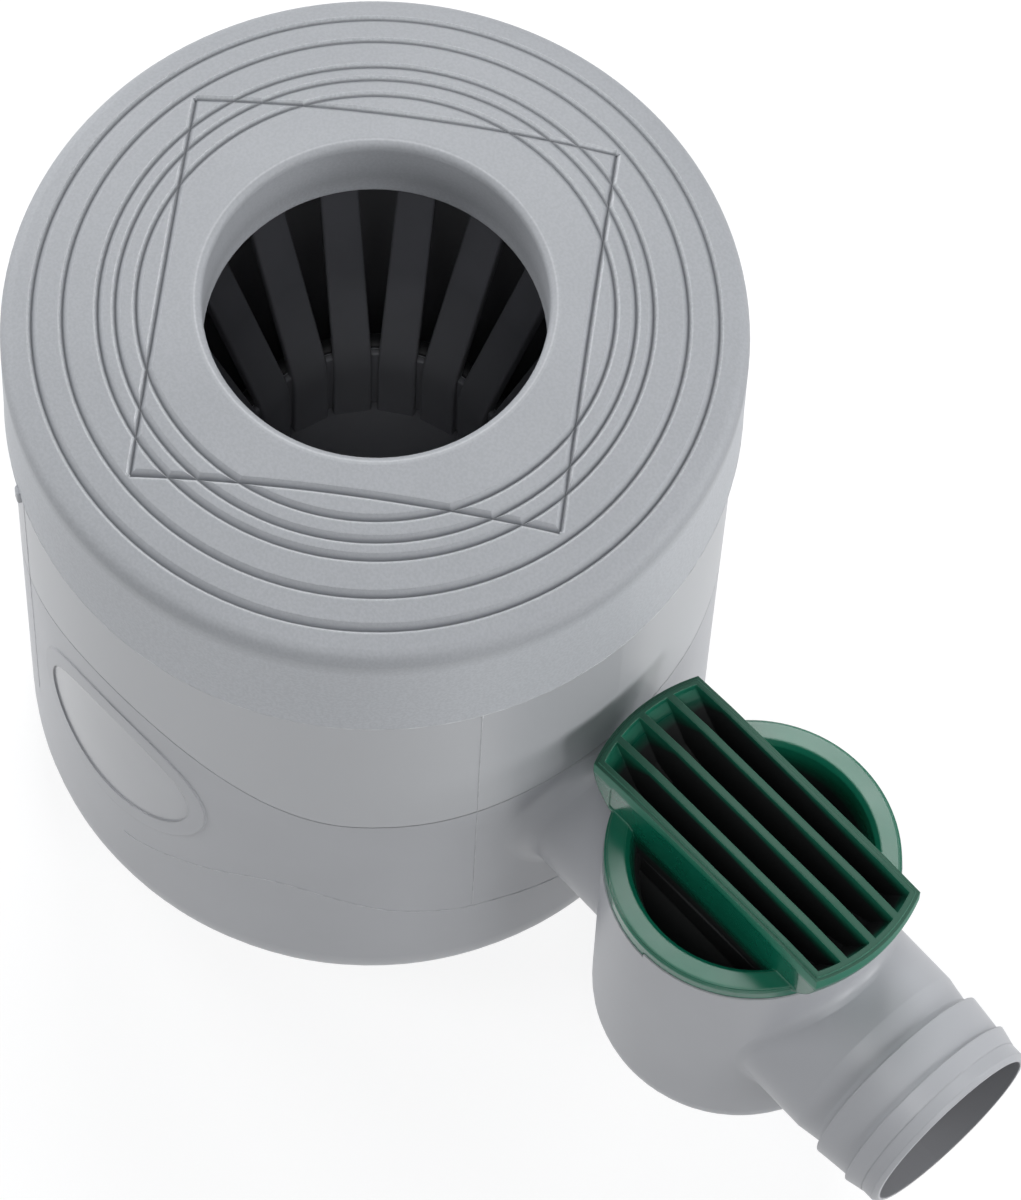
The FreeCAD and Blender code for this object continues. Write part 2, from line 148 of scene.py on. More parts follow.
world = bpy.data.worlds.new("white_room")
bpy.context.scene.world = world
world.use_nodes = True
tree = world.node_tree
tree.nodes.clear()
room = add(tree, "ShaderNodeBackground", {"Color": linear("#f4f7fb"), "Strength": room_strength})
backdrop = add(tree, "ShaderNodeBackground", {"Color": linear("#ffffff"), "Strength": 1.0})
seen = add(tree, "ShaderNodeMixShader", {0: seen_directly(tree), 1: room, 2: backdrop})
add(tree, "ShaderNodeOutputWorld", {0: seen})

for name, azimuth, elevation, width, watts in soft_boxes:
    side, climb = math.radians(azimuth), math.radians(elevation)
    way = Vector((math.cos(side) * math.cos(climb), math.sin(side) * math.cos(climb), math.sin(climb)))
    lamp = bpy.data.lights.new(name, "AREA")
    lamp.shape = "SQUARE"
    lamp.size = width
    lamp.energy = watts
    holder = bpy.data.objects.new(name, lamp)
    bpy.context.collection.objects.link(holder)
    holder.location = box_target + way * box_distance_m
    holder.rotation_mode = "QUATERNION"
    holder.rotation_quaternion = (-way).to_track_quat("-Z", "Y")


# The hood: one moulding of light grey polypropylene that catches the downpipe. Its top
# and skirt are spark eroded in the mould, so they are fine grained and matt down to the
# mould line. The skirt is painted paler, painted light on its wall, and the satin band below
# is a little paler than the top, also painted light.
polypropylene_ior = 1.49
satin_roughness = 0.38
matt_roughness = 0.55
cloud_mm = 26.0  # width of the faint clouds in the plastic's colour
grain_mm = 0.45  # drawn about twice as coarse as the real grain, so that it shows
grain_depth_mm = 0.03
matt_grain_share = 0.9
satin_grain_share = 0.06
grain_hollows = (0.62, 0.38)  # heights in the grain's noise where a hollow starts and is deepest
hollow_shade = 0.16
hood_edge_mm = 0.175
mould_line_mm = 103.2
mould_line_blur_mm = 0.05
skirt_light_mm = (124.0, 121.0)  # heights between which the skirt's painted light comes in


def two_tints(ramp, first, second):
    """Sets both ends of a colour ramp, each a position and an sRGB hex code."""
    for end, (position, code) in zip(ramp.color_ramp.elements, (first, second)):
        end.position = position
        end.color = linear(code)


hood_plastic = new_material("polypropylene_spark_eroded_grey")
tree = hood_plastic.node_tree
place = add(tree, "ShaderNodeTexCoord").outputs["Object"]
height = add(tree, "ShaderNodeSeparateXYZ", {0: place}).outputs["Z"]
matt = add(tree, "ShaderNodeMapRange", {
    "Value": height, "From Min": (mould_line_mm - mould_line_blur_mm) / 1000,
    "From Max": (mould_line_mm + mould_line_blur_mm) / 1000})
cloud = add(tree, "ShaderNodeTexNoise", {"Vector": place, "Scale": 1000 / cloud_mm, "Detail": 3.0})
cloudy_tint = add(tree, "ShaderNodeValToRGB", {0: cloud})
two_tints(cloudy_tint, (0.3, "#abaeb3"), (0.7, "#b0b3b8"))
# The skirt's paler tint is painted light, where the side boxes light the wall more than the top.
painted_skirt_light = add(tree, "ShaderNodeMapRange", {
    "Value": height, "From Min": skirt_light_mm[0] / 1000, "From Max": skirt_light_mm[1] / 1000})
grained_tint = add(tree, "ShaderNodeMix", {"Factor": painted_skirt_light, 6: cloudy_tint, 7: linear("#c6c9ce")},
                   data_type="RGBA")
# The satin band's tint is painted a little paler than the top: painted light on the wall.
wall_tint = add(tree, "ShaderNodeMix", {"Factor": matt, 6: linear("#bbbdc1"), 7: grained_tint},
                data_type="RGBA")

# The V grooves of the cutting guides get painted shade in the root, and their outer lips
# and the inlet's lip get painted highlights. How deep a point lies under the dome tells them.
dome_centre_mm = -16.3
dome_radius_mm = 152.0
dome_skin_mm = 0.03
groove_field_mm = (27.2, 51.2)
shade_depths_mm = (0.12, 0.72)
groove_shade_share = 0.8
outer_wall_shade_cut = 0.7
outer_wall_lean = (-0.2, -0.45)  # how far an outer wall of a groove faces the axis
highlight_wall_share = 0.95
highlight_depths_mm = (0.62, 0.35)
groove_edge_mm = 0.3
outer_edge_tilt = (-0.04, -0.3)  # how far rounding turns an outer edge to the axis
highlight_edge_share = 0.55
inlet_lip_mm = 26.25
inlet_lip_half_mm = 0.24
inlet_highlight_share = 0.45

from_dome = add(tree, "ShaderNodeVectorMath", {0: place, 1: (0.0, 0.0, dome_centre_mm / 1000)},
                operation="DISTANCE")
depth = add(tree, "ShaderNodeMath", {0: dome_radius_mm / 1000, 1: from_dome}, operation="SUBTRACT")
flat_place = add(tree, "ShaderNodeVectorMath", {0: place, 1: (1.0, 1.0, 0.0)}, operation="MULTIPLY")
from_axis = add(tree, "ShaderNodeVectorMath", {0: flat_place}, operation="LENGTH")
past_inlet = add(tree, "ShaderNodeMath", {0: from_axis, 1: groove_field_mm[0] / 1000},
                 operation="GREATER_THAN")
before_edge = add(tree, "ShaderNodeMath", {0: from_axis, 1: groove_field_mm[1] / 1000},
                  operation="LESS_THAN")
in_field = add(tree, "ShaderNodeMath", {0: past_inlet, 1: before_edge}, operation="MULTIPLY")
shade_at_depth = add(tree, "ShaderNodeMapRange", {
    "Value": depth, "From Min": shade_depths_mm[0] / 1000, "From Max": shade_depths_mm[1] / 1000,
    "To Max": groove_shade_share}, interpolation_type="SMOOTHSTEP")
shade_in_grooves = add(tree, "ShaderNodeMath", {0: shade_at_depth, 1: in_field}, operation="MULTIPLY")
outward_way = add(tree, "ShaderNodeVectorMath", {0: flat_place}, operation="NORMALIZE")
face = add(tree, "ShaderNodeNewGeometry").outputs["True Normal"]
outward = add(tree, "ShaderNodeVectorMath", {0: face, 1: outward_way}, operation="DOT_PRODUCT")
outer_wall = add(tree, "ShaderNodeMapRange", {
    "Value": outward, "From Min": outer_wall_lean[0], "From Max": outer_wall_lean[1],
    "To Max": highlight_wall_share})
shade_kept = add(tree, "ShaderNodeMath", {0: outer_wall, 1: -outer_wall_shade_cut, 2: 1.0},
                operation="MULTIPLY_ADD")
groove_shade = add(tree, "ShaderNodeMath", {0: shade_in_grooves, 1: shade_kept}, operation="MULTIPLY")
near_lip = add(tree, "ShaderNodeMapRange", {
    "Value": depth, "From Min": highlight_depths_mm[0] / 1000, "From Max": highlight_depths_mm[1] / 1000})
lit_wall_highlight = add(tree, "ShaderNodeMath", {0: outer_wall, 1: near_lip}, operation="MULTIPLY")
edge_round = add(tree, "ShaderNodeBevel", {"Radius": groove_edge_mm / 1000}, samples=4)
tilt = add(tree, "ShaderNodeVectorMath", {0: edge_round, 1: face}, operation="SUBTRACT")
outward_tilt = add(tree, "ShaderNodeVectorMath", {0: tilt, 1: outward_way}, operation="DOT_PRODUCT")
outer_edge = add(tree, "ShaderNodeMapRange", {
    "Value": outward_tilt, "From Min": outer_edge_tilt[0], "From Max": outer_edge_tilt[1],
    "To Max": highlight_edge_share})
on_dome = add(tree, "ShaderNodeMath", {0: depth, 1: dome_skin_mm / 1000}, operation="LESS_THAN")
edge_highlight = add(tree, "ShaderNodeMath", {0: outer_edge, 1: on_dome}, operation="MULTIPLY")
groove_highlight = add(tree, "ShaderNodeMath", {0: lit_wall_highlight, 1: edge_highlight}, operation="MAXIMUM")
groove_highlights = add(tree, "ShaderNodeMath", {0: groove_highlight, 1: in_field}, operation="MULTIPLY")
past_lip = add(tree, "ShaderNodeMath", {0: from_axis, 1: inlet_lip_mm / 1000}, operation="SUBTRACT")
off_lip = add(tree, "ShaderNodeMath", {0: past_lip}, operation="ABSOLUTE")
inlet_highlight = add(tree, "ShaderNodeMapRange", {
    "Value": off_lip, "From Min": inlet_lip_half_mm / 1000, "From Max": 0.0,
    "To Max": inlet_highlight_share})
painted_highlight = add(tree, "ShaderNodeMath", {0: groove_highlights, 1: inlet_highlight}, operation="MAXIMUM")
# Painted shade darkens the groove roots, and painted highlights pale the lips.
shaded_groove_tint = add(tree, "ShaderNodeMix", {"Factor": groove_shade, 6: wall_tint, 7: linear("#5d6065")},
                  data_type="RGBA")
highlighted_tint = add(tree, "ShaderNodeMix", {"Factor": painted_highlight, 6: shaded_groove_tint, 7: linear("#dcdfe3")},
                  data_type="RGBA")

grain = add(tree, "ShaderNodeTexNoise", {"Vector": place, "Scale": 1000 / grain_mm, "Detail": 2.0})
hollow = add(tree, "ShaderNodeMapRange", {
    "Value": grain, "From Min": grain_hollows[0], "From Max": grain_hollows[1], "To Max": hollow_shade})
hollow_and_matt = add(tree, "ShaderNodeMath", {0: hollow, 1: matt}, operation="MULTIPLY")
hood_tint = add(tree, "ShaderNodeMix", {"Factor": hollow_and_matt, 6: highlighted_tint, 7: linear("#83868b")},
                data_type="RGBA")
grain_share = add(tree, "ShaderNodeMapRange", {
    "Value": matt, "To Min": satin_grain_share, "To Max": matt_grain_share})
rounded = add(tree, "ShaderNodeBevel", {"Radius": hood_edge_mm / 1000}, samples=4)
bump = add(tree, "ShaderNodeBump", {"Strength": grain_share, "Distance": grain_depth_mm / 1000,
                                    "Height": grain, "Normal": rounded})
roughness = add(tree, "ShaderNodeMapRange", {
    "Value": matt, "To Min": satin_roughness, "To Max": matt_roughness})
shell = add(tree, "ShaderNodeBsdfPrincipled", {"Base Color": hood_tint, "Roughness": roughness,
                                               "IOR": polypropylene_ior, "Normal": bump})
add(tree, "ShaderNodeOutputMaterial", {0: shell})
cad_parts["hood"].material_slots[0].material = hood_plastic


# The housing: the lower moulding, the same polypropylene from a smooth mould, with the
# collecting chamber, the valve pot and the hose spigot in one piece. The floor of the
# oval on its front comes from a polished insert, and the branch's bore from a rough core;
# the bore is also painted darker, painted shade deep in the passage.
# Its inner wall is darker, because hardly any light comes back from it through the basket.
oval_centre_mm = 55.4
oval_half_width_mm = 15.3
oval_half_height_mm = 13.8
oval_rim_share = 0.985
front_limit_mm = -45.0
pot_axis_mm = 83.3
branch_height_mm = 50.1
branch_fall_degrees = 4.0
bore_mm = 14.5
inside_radius_mm = 52.0
inside_floor_mm = 8.0
facing_in_mm = 5.0  # least distance of an inner face from the axis, square to the face
polished_roughness = 0.22
core_roughening = 0.22
skin_mm = 1.6  # width of the slight waves in a smooth moulded face
skin_depth_mm = 0.006
skin_share = 0.25
housing_edge_mm = 0.35

housing_plastic = new_material("polypropylene_satin_moulded_grey")
tree = housing_plastic.node_tree
place = add(tree, "ShaderNodeTexCoord").outputs["Object"]
parts = add(tree, "ShaderNodeSeparateXYZ", {0: place}).outputs
cloud = add(tree, "ShaderNodeTexNoise", {"Vector": place, "Scale": 1000 / cloud_mm, "Detail": 3.0})
cloudy_tint = add(tree, "ShaderNodeValToRGB", {0: cloud})
two_tints(cloudy_tint, (0.3, "#b0b2b7"), (0.7, "#b5b7bc"))

in_oval = add(tree, "ShaderNodeMapping", {
    "Vector": place, "Location": (0.0, 0.0, -oval_centre_mm / oval_half_height_mm),
    "Scale": (1000 / oval_half_width_mm, 0.0, 1000 / oval_half_height_mm)})
from_centre = add(tree, "ShaderNodeVectorMath", {0: in_oval}, operation="LENGTH")
polished = add(tree, "ShaderNodeMapRange", {
    "Value": from_centre, "From Min": 1.0, "From Max": oval_rim_share})
in_front = add(tree, "ShaderNodeMath", {0: parts["Y"], 1: front_limit_mm / 1000}, operation="LESS_THAN")
insert = add(tree, "ShaderNodeMath", {0: polished, 1: in_front}, operation="MULTIPLY")

fall = math.radians(branch_fall_degrees)
along_branch = add(tree, "ShaderNodeMapping", {
    "Vector": place, "Rotation": (0.0, -fall, 0.0),
    "Location": (0.0, 0.0, -(branch_height_mm * math.cos(fall) + pot_axis_mm * math.sin(fall)) / 1000)})
off_axis = add(tree, "ShaderNodeVectorMath", {0: along_branch, 1: (0.0, 1.0, 1.0)}, operation="MULTIPLY")
axis_distance = add(tree, "ShaderNodeVectorMath", {0: off_axis}, operation="LENGTH")
near_axis = add(tree, "ShaderNodeMath", {0: axis_distance, 1: bore_mm / 1000}, operation="LESS_THAN")
past_pot = add(tree, "ShaderNodeMath", {0: parts["X"], 1: pot_axis_mm / 1000}, operation="GREATER_THAN")
in_bore = add(tree, "ShaderNodeMath", {0: near_axis, 1: past_pot}, operation="MULTIPLY")
# The bore's darker tint is painted shade deep in the passage.
bore_shade_tint = add(tree, "ShaderNodeMix", {"Factor": in_bore, 6: cloudy_tint, 7: linear("#8b8c90")},
                data_type="RGBA")

flat_place = add(tree, "ShaderNodeVectorMath", {0: place, 1: (1.0, 1.0, 0.0)}, operation="MULTIPLY")
face = add(tree, "ShaderNodeNewGeometry").outputs["True Normal"]
outward = add(tree, "ShaderNodeVectorMath", {0: flat_place, 1: face}, operation="DOT_PRODUCT")
turned_in = add(tree, "ShaderNodeMath", {0: outward, 1: -facing_in_mm / 1000}, operation="LESS_THAN")
from_pipe = add(tree, "ShaderNodeVectorMath", {0: flat_place}, operation="LENGTH")
in_body = add(tree, "ShaderNodeMath", {0: from_pipe, 1: inside_radius_mm / 1000}, operation="LESS_THAN")
over_floor = add(tree, "ShaderNodeMath", {0: parts["Z"], 1: inside_floor_mm / 1000},
                 operation="GREATER_THAN")
inner_face = add(tree, "ShaderNodeMath", {0: turned_in, 1: in_body}, operation="MULTIPLY")
inner_wall = add(tree, "ShaderNodeMath", {0: inner_face, 1: over_floor}, operation="MULTIPLY")
housing_tint = add(tree, "ShaderNodeMix", {"Factor": inner_wall, 6: bore_shade_tint, 7: linear("#8f9095")},
                   data_type="RGBA")

wall_roughness = add(tree, "ShaderNodeMapRange", {
    "Value": insert, "To Min": satin_roughness, "To Max": polished_roughness})
roughness = add(tree, "ShaderNodeMath", {0: in_bore, 1: core_roughening, 2: wall_roughness},
                operation="MULTIPLY_ADD")
skin = add(tree, "ShaderNodeTexNoise", {"Vector": place, "Scale": 1000 / skin_mm, "Detail": 2.0})
rounded = add(tree, "ShaderNodeBevel", {"Radius": housing_edge_mm / 1000}, samples=4)
bump = add(tree, "ShaderNodeBump", {"Strength": skin_share, "Distance": skin_depth_mm / 1000,
                                    "Height": skin, "Normal": rounded})
shell = add(tree, "ShaderNodeBsdfPrincipled", {"Base Color": housing_tint, "Roughness": roughness,
                                               "IOR": polypropylene_ior, "Normal": bump})
add(tree, "ShaderNodeOutputMaterial", {0: shell})
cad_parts["housing"].material_slots[0].material = housing_plastic


# The mould lines: fine flash where the parts of the steel mould met. One ring runs
# along the skirt's lower edge, four lines run down the wall from it, each under a small
# nib, and a wavy one crosses the front. The flash is painted paler than the wall: a
# painted highlight along its thin ridge.
flash_radius_mm = 0.06
flash_step_mm = 1.5
flash_ripple_mm = 2.5
flash_ripple_depth_mm = 0.01
nib_radius_mm = 0.17
nib_step_mm = 0.4
nib_below_line_mm = (0.3, 2.6)
skirt_radius_mm = 54.6
wall_top_radius_mm = 53.8
wall_low_radius_mm = 53.1
ring_points = 180
split_azimuth_degrees = (-116.7, -25.5, 64.5, 153.3)
split_low_mm = 31.5
wavy_split = ((-94, 26.5), (-88, 27.9), (-85, 28.7), (-72, 35.2), (-57, 40.5), (-39, 33.8),
              (-27, 30.8), (-21, 30.2), (-6, 27.0), (9, 24.5))  # azimuth in degrees, height in mm
wavy_steps = 10

flash_plastic = new_material("polypropylene_thin_flash_grey")
tree = flash_plastic.node_tree
place = add(tree, "ShaderNodeTexCoord").outputs["Object"]
ripple = add(tree, "ShaderNodeTexNoise", {"Vector": place, "Scale": 1000 / flash_ripple_mm, "Detail": 3.0})
# The flash's paler tint is a painted highlight along its ridge.
flash_highlight_tint = add(tree, "ShaderNodeValToRGB", {0: ripple})
two_tints(flash_highlight_tint, (0.35, "#babcc0"), (0.65, "#dcdee1"))
bump = add(tree, "ShaderNodeBump", {"Strength": 0.3, "Distance": flash_ripple_depth_mm / 1000,
                                    "Height": ripple})
shell = add(tree, "ShaderNodeBsdfPrincipled", {"Base Color": flash_highlight_tint, "Roughness": 0.45,
                                               "IOR": polypropylene_ior, "Normal": bump})
add(tree, "ShaderNodeOutputMaterial", {0: shell})


def on_wall(azimuth, height, radius=None):
    """Point in metres at an azimuth in degrees and a height in millimetres, on the wall or at a radius."""
    out = radius or wall_low_radius_mm + (wall_top_radius_mm - wall_low_radius_mm) * height / mould_line_mm
    angle = math.radians(azimuth)
    return out * math.cos(angle) / 1000, out * math.sin(angle) / 1000, height / 1000


def path_mesh(name, runs):
    """Mesh of bare edges through runs of points; a run that ends where it starts is a ring."""
    points, edges = [], []
    for run in runs:
        closed = run[0] == run[-1]
        first = len(points)
        points += run[:-1] if closed else run
        edges += [(index, index + 1) for index in range(first, len(points) - 1)]
        if closed:
            edges.append((len(points) - 1, first))
    mesh = bpy.data.meshes.new(name)
    mesh.from_pydata(points, edges, [])
    return mesh


def new_tree(name, values):
    """Empty Geometry Nodes tree with geometry in and out and an input for each named value."""
    tree = bpy.data.node_groups.new(name, "GeometryNodeTree")
    tree.interface.new_socket("Geometry", in_out="INPUT", socket_type="NodeSocketGeometry")
    tree.interface.new_socket("Geometry", in_out="OUTPUT", socket_type="NodeSocketGeometry")
    for label, value in values.items():
        kind = "NodeSocketInt" if isinstance(value, int) else "NodeSocketFloat"
        tree.interface.new_socket(label, in_out="INPUT", socket_type=kind)
    return tree


def finish_faces(mesh, sharp_degrees):
    """Turns a closed mesh's faces outwards and shades it smooth up to an angle between faces."""
    shape = bmesh.new()
    shape.from_mesh(mesh)
    bmesh.ops.recalc_face_normals(shape, faces=shape.faces)
    shape.to_mesh(mesh)
    shape.free()
    mesh.shade_smooth()
    mesh.set_sharp_from_angle(angle=math.radians(sharp_degrees))


def settled(name, mesh, tree, values):
    """Runs a Geometry Nodes tree on a mesh with named values and keeps the result as a plain piece."""
    holder = bpy.data.objects.new(name + "_path", mesh)
    bpy.context.collection.objects.link(holder)
    modifier = holder.modifiers.new("shape", "NODES")
    modifier.node_group = tree
    for item in tree.interface.items_tree:
        if item.item_type == "SOCKET" and item.name in values:
            modifier[item.identifier] = values[item.name]
    bpy.context.view_layer.update()
    graph = bpy.context.evaluated_depsgraph_get()
    made = bpy.data.meshes.new_from_object(holder.evaluated_get(graph))
    holder.modifiers.remove(modifier)
    bpy.data.objects.remove(holder)
    finish_faces(made, sharp_degrees=40)
    piece = bpy.data.objects.new(name, made)
    bpy.context.collection.objects.link(piece)
    return piece


line_values = {"Flash Radius": flash_radius_mm / 1000, "Step": flash_step_mm / 1000}
nib_values = {"Flash Radius": nib_radius_mm / 1000, "Step": nib_step_mm / 1000}
flash_tree = new_tree("swept_flash", line_values)
given = add(flash_tree, "NodeGroupInput").outputs
line = add(flash_tree, "GeometryNodeMeshToCurve", {"Mesh": given["Geometry"]})
smooth = add(flash_tree, "GeometryNodeCurveSplineType", {"Curve": line}, spline_type="CATMULL_ROM")
even = add(flash_tree, "GeometryNodeResampleCurve", {"Curve": smooth, "Length": given["Step"]},
           mode="LENGTH")
section = add(flash_tree, "GeometryNodeCurvePrimitiveCircle", {
    "Resolution": 8, "Radius": given["Flash Radius"]}, mode="RADIUS")
swept = add(flash_tree, "GeometryNodeCurveToMesh", {
    "Curve": even, "Profile Curve": section, "Fill Caps": True})
real = add(flash_tree, "GeometryNodeRealizeInstances", {0: swept})
painted = add(flash_tree, "GeometryNodeSetMaterial", {"Geometry": real, "Material": flash_plastic})
add(flash_tree, "NodeGroupOutput", {0: painted})

ring_run = [on_wall(360 // ring_points * step, mould_line_mm, skirt_radius_mm)
            for step in range(ring_points)]
ring_run.append(ring_run[0])
split_runs = [[on_wall(azimuth, mould_line_mm), on_wall(azimuth, split_low_mm)]
              for azimuth in split_azimuth_degrees]
# The wavy line is a Catmull-Rom curve; its first and last points only give it direction.
wavy_run = []
for index in range(1, len(wavy_split) - 2):
    before, start, end, after = [Vector(point) for point in wavy_split[index - 1:index + 3]]
    for step in range(wavy_steps):
        share = step / wavy_steps
        twice = (2 * start + (end - before) * share
                 + (2 * before - 5 * start + 4 * end - after) * share ** 2
                 + (3 * start - before - 3 * end + after) * share ** 3)
        wavy_run.append(on_wall(twice[0] / 2, twice[1] / 2))
nib_runs = [[on_wall(azimuth, mould_line_mm - below) for below in nib_below_line_mm]
            for azimuth in split_azimuth_degrees]
line_path = path_mesh("mould_lines_path", [ring_run, wavy_run] + split_runs)
mould_lines = settled("mould_lines", line_path, flash_tree, line_values)
mould_nibs = settled("mould_nibs", path_mesh("mould_nibs_path", nib_runs), flash_tree, nib_values)
for piece in (mould_lines, mould_nibs):
    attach(piece, "housing_body")


# The leaf basket: a charcoal polypropylene moulding that stands on the standpipe's
# ledges. Eighteen flat bars with rounded edges rise inside the sleeve that centres it,
# bend outwards over the standpipe's edge and end in the rim ring. Its low parts are
# painted paler: painted light deep in the well, where little light reaches.
bar_count = 18
bar_turn_degrees = -3.4
bar_points_mm = ((20.0, 57.8), (20.0, 75.95), (43.35, 124.15))  # radius and height
basket_sizes_mm = {
    "Bar Width": 5.9, "Bar Thickness": 2.2, "Bar Edge": 0.5, "Bend Radius": 14.0,
    "Rim Radius": 43.53, "Rim Width": 3.2, "Rim Depth": 2.6, "Rim Top": 124.6,
    "Sleeve Radius": 20.87, "Sleeve Wall": 1.15, "Sleeve Low": 60.4, "Sleeve Top": 76.6,
    "Foot Radius": 20.6, "Foot Low": 57.8, "Foot Top": 60.2, "Foot Rise": 1.6}
sleeve_edge_share = 0.3
basket_cloud_mm = 9.0
basket_grain_mm = 0.6  # drawn coarser than the real grain, so that it shows
basket_grain_depth_mm = 0.01
painted_light_from_mm = 92.0  # heights between which the basket's painted light comes in
painted_light_full_mm = 64.0
hoop_steps = 144
foot_steps = 96

basket_plastic = new_material("polypropylene_matt_charcoal")
tree = basket_plastic.node_tree
place = add(tree, "ShaderNodeTexCoord").outputs["Object"]
cloud = add(tree, "ShaderNodeTexNoise", {"Vector": place, "Scale": 1000 / basket_cloud_mm, "Detail": 3.0})
cloudy_tint = add(tree, "ShaderNodeValToRGB", {0: cloud})
two_tints(cloudy_tint, (0.3, "#626368"), (0.7, "#68696f"))
height = add(tree, "ShaderNodeSeparateXYZ", {0: place}).outputs["Z"]
# The low parts are painted paler: painted light in the deep well.
painted_low_light = add(tree, "ShaderNodeMapRange", {
    "Value": height, "From Min": painted_light_from_mm / 1000, "From Max": painted_light_full_mm / 1000})
basket_tint = add(tree, "ShaderNodeMix", {"Factor": painted_low_light, 6: cloudy_tint, 7: linear("#9c9da2")},
                  data_type="RGBA")
grain = add(tree, "ShaderNodeTexNoise", {"Vector": place, "Scale": 1000 / basket_grain_mm, "Detail": 2.0})
bump = add(tree, "ShaderNodeBump", {"Strength": 0.4, "Distance": basket_grain_depth_mm / 1000,
                                    "Height": grain})
shell = add(tree, "ShaderNodeBsdfPrincipled", {"Base Color": basket_tint, "Roughness": 0.5,
                                               "IOR": polypropylene_ior, "Normal": bump})
add(tree, "ShaderNodeOutputMaterial", {0: shell})

basket_values = {name: size / 1000 for name, size in basket_sizes_mm.items()}
basket_values["Bars"] = bar_count
basket_values["Turn"] = math.radians(bar_turn_degrees)
tree = new_tree("leaf_basket", basket_values)
given = add(tree, "NodeGroupInput").outputs


def bar_section(width, height, edge):
    """Rounded rectangle to sweep along a path: width across it in its plane, height along its normal."""
    flat = add(tree, "GeometryNodeCurvePrimitiveQuadrilateral", {"Width": width, "Height": height},
               mode="RECTANGLE")
    return add(tree, "GeometryNodeFilletCurve", {"Curve": flat, "Count": 4, "Radius": edge}, mode="POLY")


def hoop(radius, low, top, width, edge):
    """Ring of rounded rectangular section between two heights."""
    depth = add(tree, "ShaderNodeMath", {0: top, 1: low}, operation="SUBTRACT")
    twice = add(tree, "ShaderNodeMath", {0: top, 1: low}, operation="ADD")
    middle = add(tree, "ShaderNodeMath", {0: twice, 1: 0.5}, operation="MULTIPLY")
    lift = add(tree, "ShaderNodeCombineXYZ", {"Z": middle})
    path = add(tree, "GeometryNodeCurvePrimitiveCircle", {"Resolution": hoop_steps, "Radius": radius},
               mode="RADIUS")
    swept = add(tree, "GeometryNodeCurveToMesh", {
        "Curve": path, "Profile Curve": bar_section(width, depth, edge)})
    return add(tree, "GeometryNodeTransform", {"Geometry": swept, "Translation": lift})


bar_line = add(tree, "GeometryNodeMeshToCurve", {"Mesh": given["Geometry"]})
bent = add(tree, "GeometryNodeFilletCurve", {
    "Curve": bar_line, "Count": 12, "Radius": given["Bend Radius"]}, mode="POLY")
bar = add(tree, "GeometryNodeCurveToMesh", {
    "Curve": bent, "Fill Caps": True,
    "Profile Curve": bar_section(given["Bar Thickness"], given["Bar Width"], given["Bar Edge"])})
seats = add(tree, "GeometryNodePoints", {"Count": given["Bars"]})
number = add(tree, "GeometryNodeInputIndex")
middle = add(tree, "ShaderNodeMath", {0: number, 1: 0.5}, operation="ADD")
pitch = add(tree, "ShaderNodeMath", {0: 2 * math.pi, 1: given["Bars"]}, operation="DIVIDE")
angle = add(tree, "ShaderNodeMath", {0: middle, 1: pitch, 2: given["Turn"]}, operation="MULTIPLY_ADD")
spin = add(tree, "ShaderNodeCombineXYZ", {"Z": angle})
bars = add(tree, "GeometryNodeInstanceOnPoints", {"Points": seats, "Instance": bar, "Rotation": spin})
rim_low = add(tree, "ShaderNodeMath", {0: given["Rim Top"], 1: given["Rim Depth"]}, operation="SUBTRACT")
rim = hoop(given["Rim Radius"], rim_low, given["Rim Top"], given["Rim Width"], given["Bar Edge"])
sleeve_edge = add(tree, "ShaderNodeMath", {0: given["Sleeve Wall"], 1: sleeve_edge_share},
                  operation="MULTIPLY")
sleeve = hoop(given["Sleeve Radius"], given["Sleeve Low"], given["Sleeve Top"], given["Sleeve Wall"],
              sleeve_edge)
foot_depth = add(tree, "ShaderNodeMath", {0: given["Foot Top"], 1: given["Foot Low"]},
                 operation="SUBTRACT")
foot_sum = add(tree, "ShaderNodeMath", {0: given["Foot Top"], 1: given["Foot Low"]}, operation="ADD")
foot_middle = add(tree, "ShaderNodeMath", {0: foot_sum, 1: 0.5}, operation="MULTIPLY")
disc = add(tree, "GeometryNodeMeshCylinder", {
    "Vertices": foot_steps, "Side Segments": 1, "Fill Segments": 12,
    "Radius": given["Foot Radius"], "Depth": foot_depth})
lift = add(tree, "ShaderNodeCombineXYZ", {"Z": foot_middle})
raised = add(tree, "GeometryNodeTransform", {"Geometry": disc, "Translation": lift})
spot = add(tree, "ShaderNodeSeparateXYZ", {0: add(tree, "GeometryNodeInputPosition")}).outputs
flat_spot = add(tree, "ShaderNodeCombineXYZ", {"X": spot["X"], "Y": spot["Y"]})
out = add(tree, "ShaderNodeVectorMath", {0: flat_spot}, operation="LENGTH")
share = add(tree, "ShaderNodeMath", {0: out, 1: given["Foot Radius"]}, operation="DIVIDE")
square = add(tree, "ShaderNodeMath", {0: share, 1: 2.0}, operation="POWER")
left = add(tree, "ShaderNodeMath", {0: 1.0, 1: square}, operation="SUBTRACT")
rise = add(tree, "ShaderNodeMath", {0: left, 1: given["Foot Rise"]}, operation="MULTIPLY")
upper = add(tree, "ShaderNodeMath", {0: spot["Z"], 1: foot_middle}, operation="GREATER_THAN")
swell = add(tree, "ShaderNodeMath", {0: rise, 1: upper}, operation="MULTIPLY")
offset = add(tree, "ShaderNodeCombineXYZ", {"Z": swell})
foot = add(tree, "GeometryNodeSetPosition", {"Geometry": raised, "Offset": offset})
joined = add(tree, "GeometryNodeJoinGeometry", {0: [bars, rim, sleeve, foot]})
real = add(tree, "GeometryNodeRealizeInstances", {0: joined})
painted = add(tree, "GeometryNodeSetMaterial", {"Geometry": real, "Material": basket_plastic})
add(tree, "NodeGroupOutput", {0: painted})

